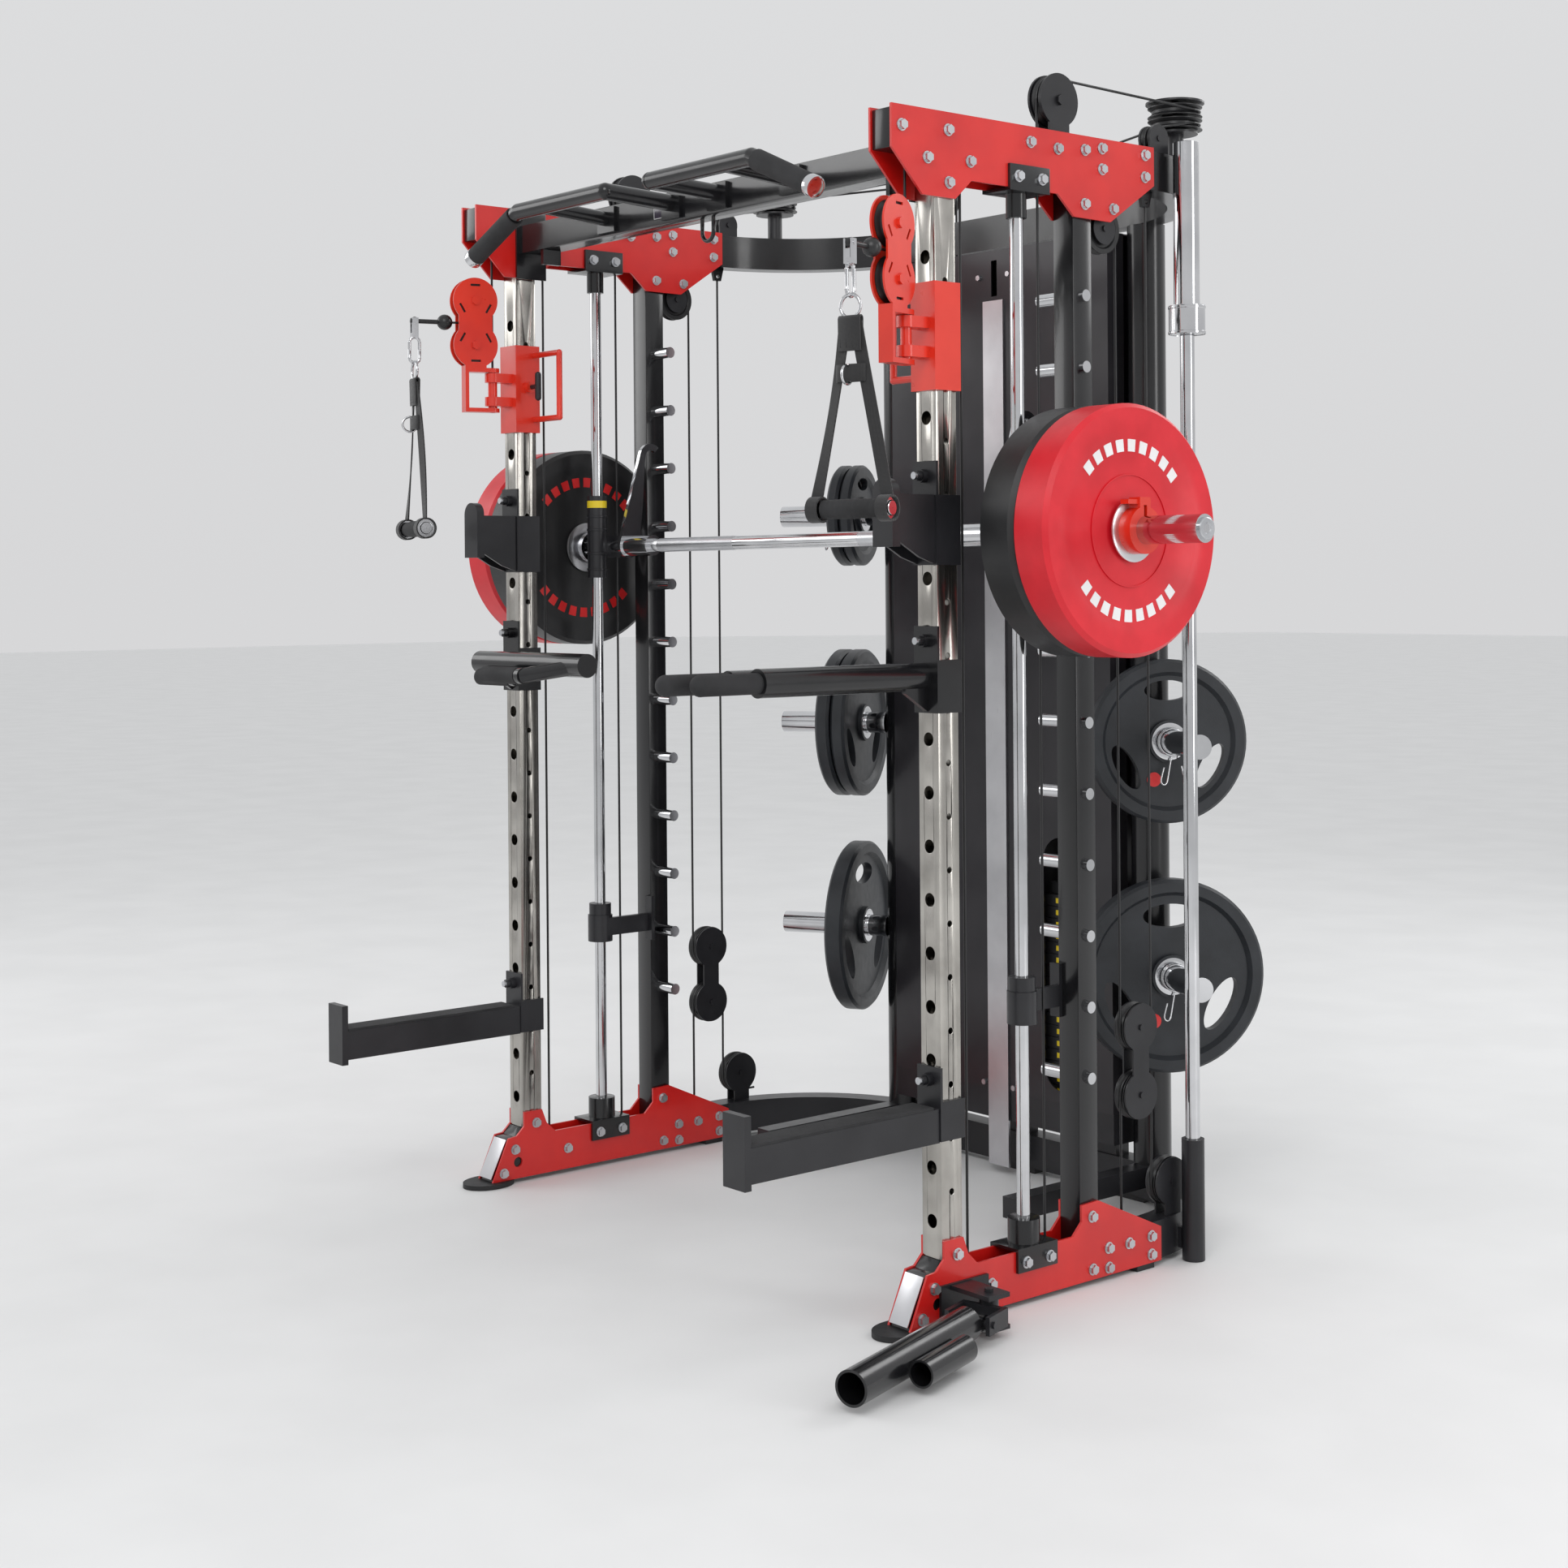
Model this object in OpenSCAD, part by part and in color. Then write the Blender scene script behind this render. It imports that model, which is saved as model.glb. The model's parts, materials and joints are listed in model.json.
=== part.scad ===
// Smith machine with twin cable arms, rear weight tower, landmine and plate storage.
// Millimetres, Z up, X to the right, the user side faces -Y.

/* [Frame] */
// Width over the outer side plates
frame_w = 1400; // [1300:10:1500]
// Height of the top plates
frame_h = 2150; // [2100:10:2200]
// Shift that centres the whole part over the origin
off_y = -326.737; // [-400:0.001:0]
// Thickness of one side frame over its plates
side_t = 60; // [58:1:66]
// Side plate thickness
plate_t = 5; // [4:1:6]
// Upright tube width
up_w = 50; // [48:1:52]
// Pitch of the adjustment holes
hole_pitch = 95; // [95:1:95]

/* [Smith bar] */
// Height of the bar axis at rest
bar_z = 1406; // [1400:1:1410]
// Distance of the bar axis behind the front foot tip
bar_y = 346; // [344:1:347]
// Bar shaft diameter
bar_d = 30; // [28:1:30]
// Bar length over both sleeves
bar_len = 2164; // [2140:4:2200]
// Sleeve diameter
sleeve_d = 50; // [49:0.1:50]
// Guide rod diameter
rod_d = 25; // [24:1:28]
// Hook angle in front of the pegs at rest
hook_free = 16; // [10:1:20]
// Pitch of the rack pegs
peg_pitch = 133; // [133:1:133]
// Bumper plate diameter
bumper_d = 450; // [440:1:455]

/* [Cable arms] */
// Outward turn of each arm at rest
arm_turn = 15; // [0:1:30]
// Sheave outside radius
wheel_r = 42; // [40:1:42]
// Cable diameter
cable_d = 5; // [4:0.5:5]

/* [Colours] */
// Powder coated side plates
c_red = "#c8141c";
// Gloss black steel
c_black = "#131316";
// Chrome
c_chrome = "#d9dbde";
// Brushed uprights
c_gun = "#8b8a86";
// Tower cover
c_char = "#3a3a40";
// Rubber
c_rub = "#1c1c1e";
// Zinc fasteners
c_zinc = "#b9bcc0";

/* [Hidden] */
W = frame_w / 2;
XI = W - side_t;
XC = W - side_t / 2;
BX0 = XI + plate_t;
BX1 = W - plate_t;
rod_y = 313;
peg_z0 = 388;
peg_y = 462;
fu0 = 82;
ru0 = 437;
piv_y = 35;
blk_z = 1895;
hy = -176;
tower_y = 925;
stk_x = 190;
col_x = 385;
stk_z = 192;
col_y = 995;
spul = [625, 810];
twy = 412.5;
twz = 2212;
pb = 43.8;
hk_dy = peg_y - bar_y;
hk_dz = peg_z0 + 9 * peg_pitch - bar_z;
hk_l = sqrt(hk_dy * hk_dy + hk_dz * hk_dz);
hk_a = atan2(hk_dy, hk_dz) - hook_free;
top_bolts = [[0,2114],[112,2118],[61,2064],[166,2068],[113,2025],[320,2121],[392,2117],[465,2123],[512,2131],[512,2092],[633,2132],[632,2090],[464,2022],[542,2020]];
base_bolts = [[114,126],[58,75],[28,27],[198,56],[464,129],[509,62],[566,60],[629,62],[629,27],[465,30],[509,25]];
rod_bolts = [[283,80],[344,80],[283,2054],[344,2054]];

module F() translate([0, off_y, 0]) children();
module LR() { children(); mirror([1, 0, 0]) children(); }
module S(s) { if (s > 0) children(); else mirror([1, 0, 0]) children(); }
module bx(x0, x1, y0, y1, z0, z1) translate([x0, y0, z0]) cube([x1 - x0, y1 - y0, z1 - z0]);
module rod(a, b, d, f = 32) {
  v = b - a; L = norm(v);
  translate(a) rotate([0, acos(v[2] / L), atan2(v[1], v[0])]) cylinder(d = d, h = L, $fn = f);
}
module path(p, d, f = 32) for (i = [0:len(p) - 2]) { rod(p[i], p[i + 1], d, f); if (i > 0) translate(p[i]) sphere(d = d + 0.4, $fn = f); }
module cx(x, y, z, d, L, f = 32) translate([x, y, z]) rotate([0, 90, 0]) cylinder(d = d, h = L, $fn = f);
module cy(x, y, z, d, L, f = 32) translate([x, y, z]) rotate([-90, 0, 0]) cylinder(d = d, h = L, $fn = f);
module yz(x, t) translate([x, 0, 0]) rotate([90, 0, 90]) linear_extrude(t) children();
// sheave turning about X, centred on its own middle plane
module sheave(r, bore, t = 16, g = 7) rotate([0, 90, 0]) rotate_extrude($fn = 64)
  polygon([[bore / 2, -t / 2], [r * 0.45, -t / 2], [r * 0.5, -t / 2 + 3], [r - g - 6, -t / 2 + 3], [r - g - 3, -t / 2], [r, -t / 2], [r, -t / 2 + 1.5], [r - g, -2.7], [r - g, 2.7], [r, t / 2 - 1.5], [r, t / 2], [r - g - 3, t / 2], [r - g - 6, t / 2 - 3], [r * 0.5, t / 2 - 3], [r * 0.45, t / 2], [bore / 2, t / 2]]);
module hexbolt(L = 7) { cylinder(d = 22, h = 2, $fn = 32); translate([0, 0, 2]) cylinder(d = 18, h = L, $fn = 6); }

module base2d() polygon([[0,10],[42,101],[63,103],[83,122],[83,153],[130,153],[142,122],[165,100],[413,100],[437,123],[437,154],[482,156],[659,75],[659,10]]);
module top2d() polygon([[-23,frame_h],[660,frame_h],[660,2076],[536,1995],[436,1996],[393,2034],[170,2034],[130,1998],[50,1998],[-23,2074]]);

module side_plates() color(c_red) F() LR() for (x = [XI, BX1]) {
  yz(x, plate_t) difference() { base2d(); translate([66, 46]) circle(d = 22, $fn = 32); }
  yz(x, plate_t) top2d();
}
module frame_beams() color(c_black) F() LR() {
  bx(BX0, BX1, 30, 639.8, 12, 60);
  bx(BX0, BX1, -19, 639.8, 2075, 2145);
  yz(BX0, up_w) polygon([[3,10],[43,99],[62,101],[80,119],[80,114],[63,96],[47,94],[9,10]]);
}
module foot_pads() color(c_rub) F() {
  LR() {
    difference() { translate([XC, 8, 0]) scale([1, 1.3, 1]) cylinder(d = 92, h = 10, $fn = 48); bx(600, 740, 60, 90, -1, 11); }
    bx(XI, W, 590, 638, 0, 10);
  }
  bx(-60, 60, 972, 1018, 0, 12);
  LR() bx(300, 380, 972, 1018, 0, 12);
}
module front_uprights() color(c_gun) F() LR() difference() {
  bx(BX0, BX1, fu0, fu0 + up_w, 60, 2075);
  bx(BX0 + 3, BX1 - 3, fu0 + 3, fu0 + up_w - 3, 59, 2076);
  for (k = [0:18]) cy(XC, fu0 - 1, 184 + hole_pitch * k, 24, 5);
  for (k = [0:18]) cx(BX0 - 1, fu0 + up_w / 2, 142 + hole_pitch * k, 11, up_w + 2, 24);
}
module rear_uprights() color(c_black) F() LR() difference() {
  bx(BX0, BX1, ru0, ru0 + up_w, 60, 2075);
  bx(BX0 + 3, BX1 - 3, ru0 + 3, ru0 + up_w - 3, 59, 2076);
}
module front_crossbar() color(c_black) F() {
  bx(-XI + 6, XI - 6, 88, 148, 2052, 2112);
  LR() bx(XI - 6.1, XI - 0.2, 78, 154.8, 1996, 2148);
  LR() bx(555, 565, 95, 141, 2020, 2052.1);
  // hanging eye
  for (x = [-18, 18]) rod([x, 118, 2052.2], [x, 118, 2024], 8, 24);
  translate([0, 118, 2024]) rotate([0, 90, 90]) rotate_extrude(angle = 180, start = -90, $fn = 48) translate([18, 0]) circle(d = 8.4, $fn = 24);
}
module pullup_handles() color(c_black) F() LR() {
  path([[75, 86.8, 2088], [75, -80, 2095], [385, -80, 2095], [565, -80, 2015]], 34);
  rod([300, 86.8, 2084], [300, -80, 2095], 30);
  for (x = [75, 300]) bx(x - 30, x + 30, 80, 87.8, 2056, 2108);
}
module fixed_grips() color(c_rub) F() {
  LR() {
    difference() { rod([401, -80, 2087.9], [552, -80, 2020.8], 40); rod([385, -80, 2095], [565, -80, 2015], 34.2); }
    bx(BX0 - 2, BX1 + 2, -350, 62, 388.3, 393);
    bx(652, 688, -4, 72, 1411.3, 1420);
  }
  rod([660, -300.1, 1150], [660, -420, 1150], 36); rod([606, -320.1, 1150], [606, -450, 1150], 36);
  rod([-570, -52, 1128], [-440.1, -52, 1128], 36); rod([-650, -14, 1120], [-526.1, -14, 1120], 36);
  for (p = [[660, -420, 1150], [606, -450, 1150]]) translate(p) sphere(d = 36.4, $fn = 32);
}
// U-shaped band joining both side frames behind the tower
module band2d(ri, ro) polygon(concat(
  [for (a = [0:4:90]) [315 + ro * cos(a), 640 + ro * sin(a)]], [for (a = [90:4:180]) [-315 + ro * cos(a), 640 + ro * sin(a)]], [[-315 - ro, 640]],
  [[-315 - ri, 640]], [for (a = [178:-4:90]) [-315 + ri * cos(a), 640 + ri * sin(a)]], [for (a = [90:-4:2]) [315 + ri * cos(a), 640 + ri * sin(a)]], [[315 + ri, 640]]));
module rear_top_band() color(c_black) F() {
  difference() { translate([0, 0, 2070]) linear_extrude(75) band2d(330, 380); LR() bx(600, BX0 + 0.05, 635, 660.3, 2060, 2160); LR() translate([stk_x, col_y, 2060]) cylinder(d = 16, h = 100, $fn = 32); }
  LR() difference() { yz(XC - 4, 8) polygon([[650, 2070.1], [684, 2070.1], [676, 2040], [657, 2040]]); cx(XC - 6, 666.5, 2050, 9, 12, 24); }
}
module rear_base_band() color(c_black) F() {
  difference() { translate([0, 0, 12]) linear_extrude(73) band2d(330, 380); LR() bx(600, BX0 + 0.05, 635, 660.3, 0, 100); }
  bx(-338, 338, 926, 1060, 120, 184.8);
  for (x = [-300, -30, 240]) bx(x, x + 60, 975, 1015, 84.9, 120.1);
  for (s = [-1, 1]) bx(s * 390 - 20, s * 390 + 20, 560, 963, 42, 84.9);
}
module storage_columns() color(c_black) F() LR() translate([385, 995, 85]) cylinder(d = 80, h = 1985, $fn = 48);
// one storage peg pointing outward and forward from a column
PD = [0.87, -0.493, 0];
module peg_at(z) { rod([385,995,z] + 40.3 * PD, [385,995,z] + 300 * PD, sleeve_d, 48); }
module storage_pegs() color(c_chrome) F() {
  LR() for (z = [500, 985, 1480]) difference() { peg_at(z); translate([385, 995, z - 40]) cylinder(d = 80.0, h = 80, $fn = 48); }
}
module grip_plate(z, d, a, t) translate([385, 995, z] + a * PD) rotate([0, 90, -29.54]) difference() {
  union() { rotate_extrude($fn = 72) polygon([[25.4,0],[44,0],[44,t*0.25],[d/2-34,t*0.25],[d/2-26,0],[d/2-6,0],[d/2,6],[d/2,t-6],[d/2-6,t],[d/2-26,t],[d/2-34,t*0.75],[44,t*0.75],[44,t],[25.4,t]]); }
  for (k = [0:2]) rotate([0, 0, 120 * k + 60]) translate([d * 0.31, 0, -1]) scale([0.62, 1.5, 1]) cylinder(d = d * 0.2, h = t + 2, $fn = 48);
}
module storage_plates() color(c_rub) F() {
  mirror([1, 0, 0]) { grip_plate(500, 400, 90, 44); grip_plate(985, 350, 90, 34); grip_plate(985, 350, 128, 34); grip_plate(1480, 240, 90, 28); grip_plate(1480, 240, 122, 28); }
  grip_plate(500, 400, 90, 44); grip_plate(985, 340, 90, 34);
}
module slot_hole(x, z0, z1, w) { bx(x - w / 2, x + w / 2, 900, 935, z0 + w / 2, z1 - w / 2); cy(x, 900, z0 + w / 2, w, 35); cy(x, 900, z1 - w / 2, w, 35); }
module tower_shroud() color(c_char) F() difference() {
  bx(-338, 338, tower_y, 1064, 185, 2058);
  bx(-335, 335, tower_y + 3, 1061, 184, 2055);
  for (s = [-1, 1]) slot_hole(s * stk_x, 210, 762, 102);
  for (s = [-1, 1]) bx(s * 337 - 3, s * 337 + 3, 975, 1015, 184, 2059);
  bx(-9, 9, 900, tower_y + 4, 1955, 2035);
  LR() translate([stk_x, col_y, 2040]) cylinder(d = 16, h = 30, $fn = 32);
}
module tower_strip() color(c_chrome) F() bx(-31, 31, tower_y - 5, tower_y - 0.3, 17, 1945);
// selectorised stack with guide rod bores and a hollow centre stem
module stack_one() difference() {
  union() {
    for (i = [0:16]) bx(stk_x - 72, stk_x + 72, 948, 1042, stk_z + 26 * i, stk_z + 26 * i + 24.6);
    bx(stk_x - 16, stk_x + 16, 979, 1011, stk_z, stk_z + 442);
    bx(stk_x - 60, stk_x + 60, 958, 1032, stk_z + 442, stk_z + 468);
  }
  for (dx = [-52, 52]) translate([stk_x + dx, 995, 180]) cylinder(d = 20.12, h = 500, $fn = 32);
  translate([stk_x, 995, 180]) cylinder(d = 12, h = 500, $fn = 32);
  cy(stk_x, 940, stk_z + 26 * 9 + 12.3, 10.12, 48);
}
module stack_left() color(c_black) F() S(-1) stack_one();
module stack_right() color(c_black) F() S(1) stack_one();
module selector_one() { cy(stk_x, 930, stk_z + 26 * 9 + 12.3, 10, 52); cy(stk_x, 930.5, stk_z + 26 * 9 + 12.3, 26, 14); }
module selector_left() color("#d8b400") F() S(-1) selector_one();
module selector_right() color("#d8b400") F() S(1) selector_one();
module guide_rods() color(c_chrome) F() LR() {
  translate([XC, rod_y, 150]) cylinder(d = rod_d, h = 1834, $fn = 48);
  for (dx = [-52, 52]) translate([stk_x + dx, 995, 185]) cylinder(d = 20, h = 1869.8, $fn = 32);
}
module rod_mounts() color(c_black) F() LR() {
  for (x = [XI - 6, W]) { bx(x, x + 6, 262, 365, 62, 100); bx(x, x + 6, 262, 365, 2034, 2076); }
  bx(XI - 6, W + 6, 262, 365, 100, 106); bx(XI - 6, W + 6, 262, 365, 2028, 2034);
  translate([XC, rod_y, 106]) cylinder(d = 60, h = 44, $fn = 48);
  translate([XC, rod_y, 1984]) cylinder(d = 38, h = 44, $fn = 48);
}
module rack_pegs() color(c_chrome) F() LR() for (k = [0:11]) {
  cx(XI - 55, peg_y, peg_z0 + peg_pitch * k, 25, 60);
  cx(BX1, peg_y, peg_z0 + peg_pitch * k, 22, 10);
}
module smith_bar() color(c_chrome) F() {
  cx(-729.95, bar_y, bar_z, bar_d, 1459.9, 48);
  LR() { cx(734, bar_y, bar_z, sleeve_d, bar_len / 2 - 734, 48); cx(730, bar_y, bar_z, 70, 14, 48); cx(bar_len / 2 - 0.5, bar_y, bar_z, 40, 4, 48); }
}

module bar_hooks() color(c_chrome) F() LR() difference() {
  union() {
    cx(500, bar_y, bar_z, 46, 90, 48);
    translate([590, bar_y, bar_z]) rotate([-hk_a, 0, 0]) yz(0, 10)
      polygon(concat([for (a = [180:15:360]) [27 * cos(a), 27 * sin(a)]], [[9, hk_l - 110], [-11, hk_l - 26]],
        [for (a = [180:-12:60]) [15 * cos(a), hk_l + 15 * sin(a)]], [for (a = [60:12:180]) [30 * cos(a), hk_l + 30 * sin(a)]]));
  }
  cx(499, bar_y, bar_z, bar_d, 112, 48);
}
module bar_bearings() color(c_black) F() LR() difference() {
  union() {
    translate([XC, rod_y, bar_z - 71]) cylinder(d = 44, h = 186, $fn = 48);
    bx(XC - 17, XC + 17, rod_y, 365.4, bar_z - 25, bar_z + 25);
  }
  translate([XC, rod_y, bar_z - 80]) cylinder(d = rod_d + 0.1, h = 210, $fn = 48);
  cx(XC - 30, bar_y, bar_z, bar_d + 0.1, 60, 48);
}
module bumper(x, t) translate([x, bar_y, bar_z]) rotate([0, 90, 0]) rotate_extrude($fn = 96)
  polygon([[25,2],[46,2],[46,8],[70,10],[160,10],[175,2],[bumper_d/2-8,0],[bumper_d/2,8],[bumper_d/2,t-8],[bumper_d/2-8,t],[175,t-2],[160,t-10],[70,t-10],[46,t-8],[46,t-2],[25,t-2]]);
module bumpers_black() color(c_rub) F() LR() bumper(756, 82);
module bumpers_red() color(c_red) F() LR() bumper(839, 82);
module lock_jaws() color(c_red) F() LR() difference() {
  union() { cx(922.5, bar_y, bar_z, 84, 26, 48); bx(922.5, 948, bar_y - 14, bar_y + 14, bar_z + 30, bar_z + 58); bx(926, 944, bar_y - 40, bar_y + 16, bar_z + 46, bar_z + 54); }
  cx(920, bar_y, bar_z, 50, 32, 48);
  bx(920, 952, bar_y - 4, bar_y + 4, bar_z + 20, bar_z + 44);
}
module safety_stops() color(c_black) F() LR() difference() {
  union() {
    translate([XC, rod_y, 506]) cylinder(d = 56, h = 60, $fn = 48);
    translate([XC, rod_y, 566]) cylinder(d = 50, h = 26, $fn = 48);
    bx(XC - 28, XC - 16, rod_y, ru0, 520, 560);
    bx(XC - 40, XC - 16, ru0 - 8, ru0, 500, 600);
  }
  translate([XC, rod_y, 500]) cylinder(d = rod_d, h = 100, $fn = 48);
}
// cable arm carriage riding a front upright
module carriage_one() {
  difference() {
    bx(BX0 - 6.3, BX1 + 6.3, fu0 - 6.3, fu0 + up_w + 6.3, 1657, 1849);
    bx(BX0 - 0.4, BX1 + 0.4, fu0 - 0.4, fu0 + up_w + 0.4, 1650, 1856);
    cx(BX0 - 10, fu0 + 25, 1757, 10.2, 12);
  }
  for (z = [1714, 1766]) difference() {
    union() { translate([XC, piv_y, z]) cylinder(d = 34, h = 20, $fn = 48); bx(XC - 17, XC + 17, piv_y, fu0 - 6.3, z, z + 20); }
    translate([XC, piv_y, z - 1]) cylinder(d = 20.2, h = 22, $fn = 48);
  }
  // grab loop on the inner face
  path([[BX0 - 5, 124, 1828], [540, 124, 1828], [540, 124, 1686], [BX0 - 5, 124, 1686]], 13);
  // pin boss
  difference() { cx(BX0 - 22, fu0 + 25, 1757, 24, 16); cx(BX0 - 30, fu0 + 25, 1757, 10.2, 32); }
}
module carriage_left() color(c_red) F() S(-1) carriage_one();
module carriage_right() color(c_red) F() S(1) carriage_one();
module pull_pin_one() { cx(596, fu0 + 25, 1757, 10, BX0 - 0.5 - 596); rod([598, fu0 + 25, 1732], [598, fu0 + 25, 1782], 14); for (z = [1732, 1782]) translate([598, fu0 + 25, z]) sphere(d = 14, $fn = 24); }
module pull_pin_left() color(c_black) F() S(-1) pull_pin_one();
module pull_pin_right() color(c_black) F() S(1) pull_pin_one();
module ARM(s) S(s) translate([XC, piv_y, 0]) rotate([0, 0, arm_turn]) children();
module blk2d() difference() {
  union() { for (z = [-49, 49]) translate([-42, z]) circle(r = 50, $fn = 72); translate([-80, -49]) square([76, 98]); }
  for (s = [-1, 1]) translate([-42 + s * 62, 0]) circle(r = 24, $fn = 48);
  for (z = [-49, 49]) for (k = [0:2]) translate([-42, z]) rotate(120 * k + (z > 0 ? 90 : -90)) translate([34, 0]) square([5, 22], center = true);
}
// swivelling double sheave housing; forward is -Y in its own axes
module block_one() difference() {
  union() {
    for (x = [-15, 11]) translate([0, 0, blk_z]) yz(x, 4) blk2d();
    for (z = [-49, 49]) cx(-19, -42, blk_z + z, 12, 38);
    for (z = [-49, 49]) for (x = [-21, 15]) cx(x, -42, blk_z + z, 20, 6, 6);
    bx(-15, 15, -66, -18, 1792, 1802);
    bx(-15, 15, -66, 0, 1787.5, 1797);
    bx(-15, 15, -66, 0, 1700, 1709);
    bx(-15, 15, -66, -58, 1700, 1797);
    translate([0, 0, 1700]) cylinder(d = 20, h = 97, $fn = 48);
    translate([0, 0, 1787.5]) cylinder(d = 30, h = 9.5, $fn = 48);
    translate([0, 0, 1700]) cylinder(d = 30, h = 9, $fn = 48);
  }
  translate([0, 0, 1690]) cylinder(d = 12, h = 120, $fn = 48);
}
module swivel_block_left() color(c_red) F() ARM(-1) block_one();
module swivel_block_right() color(c_red) F() ARM(1) block_one();
module arm_wheel(z) translate([0, -42, blk_z + z]) sheave(wheel_r, 12.1, 20);
module wheel_left_up() color(c_rub) F() ARM(-1) arm_wheel(49);
module wheel_left_low() color(c_rub) F() ARM(-1) arm_wheel(-49);
module wheel_right_up() color(c_rub) F() ARM(1) arm_wheel(49);
module wheel_right_low() color(c_rub) F() ARM(1) arm_wheel(-49);
module ball_one() {
  cy(0, -122, blk_z, cable_d, 118.5);
  translate([0, -108, blk_z]) sphere(d = 34, $fn = 48);
  cy(0, hy + 4, blk_z, 10, -108 - hy - 16);
  difference() { cx(-4, hy, blk_z, 18, 8); cx(-5, hy, blk_z, 8.16, 10); }
}
module ball_stop_left() color(c_rub) F() ARM(-1) ball_one();
module ball_stop_right() color(c_rub) F() ARM(1) ball_one();
// shackle, snap hook and rings hanging from the ball
module ring_x(y, z, r, w) translate([0, y, z]) rotate([0, 90, 0]) rotate_extrude($fn = 48) translate([r, 0]) circle(d = w, $fn = 24);
module ring_y(y, z, r, w) translate([0, y, z]) rotate([90, 0, 0]) rotate_extrude($fn = 48) translate([r, 0]) circle(d = w, $fn = 24);
module hw_one() {
  cx(-10, hy, blk_z, 8, 20);
  for (x = [-9, 5]) bx(x, x + 4, hy - 7, hy + 7, blk_z - 28, blk_z + 7);
  bx(-9, 9, hy - 7, hy + 7, blk_z - 36, blk_z - 26);
  path(concat([[0, hy - 4, blk_z - 34]], [for (a = [180:-30:0]) [0, hy - 11 * cos(a) * -1, blk_z - 46 + 11 * sin(a)]], [for (a = [0:-30:-180]) [0, hy + 11 * cos(a), blk_z - 80 + 11 * sin(a)]], [[0, hy - 11, blk_z - 46]]), 7, 24);
  ring_y(hy, blk_z - 108, 20, 6);
  translate([0, hy - 12, blk_z - 225]) rotate([0, 90, 0]) rotate_extrude($fn = 48) translate([16, 0]) circle(d = 5, $fn = 24);
  for (x = [-78, 64]) cx(x, hy, blk_z - 452, 38, 14, 48);
}
module handle_hw_left() color(c_chrome) F() ARM(-1) hw_one();
module handle_hw_right() color(c_chrome) F() ARM(1) hw_one();
module strap_one() {
  for (s = [-1, 1]) translate([0, hy, blk_z]) rotate([90, 0, 0]) translate([0, 0, -1.6]) linear_extrude(3.2) polygon([[s * -3, -134], [s * 22, -134], [s * 84, -431], [s * 58, -431]]);
  for (s = [-1, 1]) translate([s * 71, hy, blk_z - 452]) rotate([0, 90, 0]) difference() { cylinder(d = 46, h = 24, center = true, $fn = 48); cylinder(d = 38.4, h = 26, center = true, $fn = 48); }
  bx(-24, 24, hy - 3.4, hy + 3.4, blk_z - 140, blk_z - 131.2);
}
module strap_left() color(c_rub) F() ARM(-1) strap_one();
module strap_right() color(c_rub) F() ARM(1) strap_one();
module grip_one() { difference() { cx(-57, hy, blk_z - 452, 34, 114, 48); cx(-60, hy, blk_z - 452, 24, 120, 48); } }
module grip_left() color(c_rub) F() ARM(-1) grip_one();
module grip_right() color(c_rub) F() ARM(1) grip_one();
// pin-located brackets on the front uprights
module clamp(z0, z1) {
  for (x = [BX0 - 5.2, BX1 + 0.2]) bx(x, x + 5, fu0 - 5.2, fu0 + up_w + 4, z0, z1);
  bx(BX0 - 5.2, BX1 + 5.2, fu0 - 5.2, fu0 - 0.2, z0, z1 + 60);
}
module j_cups() color(c_black) F() LR() {
  clamp(1348, 1472);
  for (x = [BX0 - 1, BX1 - 5]) yz(x, 6) polygon([[fu0 - 5, 1472],[-6, 1472],[-6, 1388],[40, 1362],[fu0 - 5, 1350]]);
  bx(BX0 + 5, BX1 - 5, -6, fu0 - 5, 1400, 1411);
  bx(BX0 - 1, BX1 + 1, -24, -6, 1380, 1474); cy(XC, -24, 1474, 52, 18, 48);
  cy(XC, fu0 - 17, 1506, 24, 12); cy(XC, fu0 - 26, 1506, 18, 10);
}
module spotter_arms() color(c_black) F() LR() {
  clamp(330, 400);
  bx(BX0 - 2, BX1 + 2, -352, fu0 - 5.2, 328, 388);
  bx(BX0 - 4, BX1 + 4, -366, -352, 318, 442);
  cy(XC, fu0 - 17, 437, 24, 12); cy(XC, fu0 - 26, 437, 18, 10);
}
module dip_bars() color(c_black) F() {
  LR() { clamp(1086, 1180); yz(XC - 5, 10) polygon([[fu0 - 5, 1168], [24, 1132], [24, 1122], [fu0 - 5, 1088]]); cy(XC, fu0 - 17, 1214, 24, 12); cy(XC, fu0 - 26, 1214, 18, 10); }
  rod([660, fu0 - 4, 1150], [660, -300, 1150], 50, 48);
  path([[660, 10, 1150], [606, -60, 1150], [606, -320, 1150]], 42);
  rod([-670, fu0 - 4, 1150], [-670, 20, 1150], 42);
  rod([-700, 18, 1150], [-290, 18, 1150], 50, 48);
  rod([-440, -52, 1128], [-424, -52, 1128], 34); rod([-430, -52, 1128], [-330, 14, 1146], 32);
  rod([-526, -14, 1120], [-508, -14, 1120], 34); rod([-516, -14, 1120], [-400, 14, 1144], 32);
}
bbl = [716, 735];
module barbell() color(c_chrome) F() translate([bbl[0], bbl[1], 0]) {
  translate([0, 0, 14]) cylinder(d = 28, h = 1800, $fn = 32);
  translate([0, 0, 1795]) cylinder(d = 70, h = 55, $fn = 48);
  translate([0, 0, 1840]) cylinder(d = 50, h = 325, $fn = 48);
}
lmp = [775, 118];
lmt = 17;
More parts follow.
